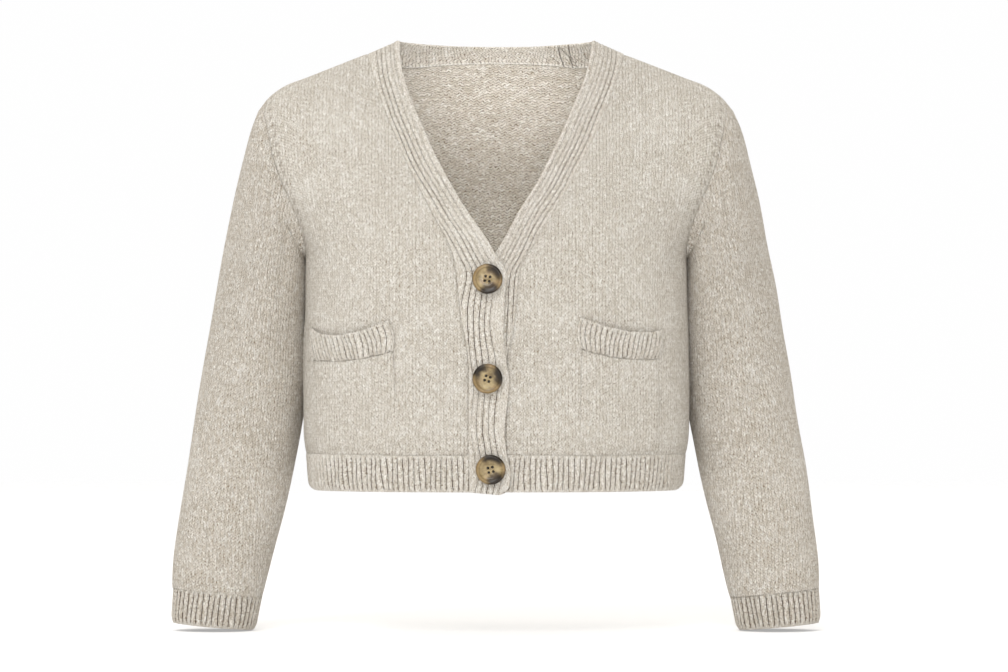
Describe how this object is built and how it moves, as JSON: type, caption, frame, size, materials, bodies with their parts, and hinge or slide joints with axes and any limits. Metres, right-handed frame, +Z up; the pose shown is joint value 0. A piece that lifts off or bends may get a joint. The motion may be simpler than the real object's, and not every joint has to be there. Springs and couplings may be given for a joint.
{
  "type": "knitted v-neck cardigan",
  "caption": "Beige marled knit v-neck cardigan with long sleeves, ribbed bands, patch pockets and horn-look buttons, filled out as if worn.",
  "frame": {"origin": "midway between the wearer's shoulders, at the height of the neck points", "axes": "+X towards the wearer's left, -Y out of the front, +Z up"},
  "size_m": [0.652, 0.2525, 0.59],
  "materials": {
    "knit_jersey": "plain-knitted marled wool blend, soft and matte",
    "knit_rib": "rib-knitted marled wool blend, soft and matte",
    "horn": "polished horn-look resin, tan with dark patches",
    "thread": "dark brown sewing thread"
  },
  "bodies": {
    "root": {"back": "knit_jersey", "front_left": "knit_jersey", "front_right": "knit_jersey", "sleeve_left": "knit_jersey", "sleeve_right": "knit_jersey", "cuff_left": "knit_rib", "cuff_right": "knit_rib", "hem_front_left": "knit_rib", "hem_front_right": "knit_rib", "hem_back": "knit_rib", "band_right": "knit_rib", "band_left": "knit_rib", "pocket_right": "knit_jersey", "pocket_rib_right": "knit_rib", "pocket_left": "knit_jersey", "pocket_rib_left": "knit_rib", "button_top": "horn", "button_middle": "horn", "button_bottom": "horn", "thread_top": "thread", "thread_middle": "thread", "thread_bottom": "thread"}
  },
  "joints": []
}
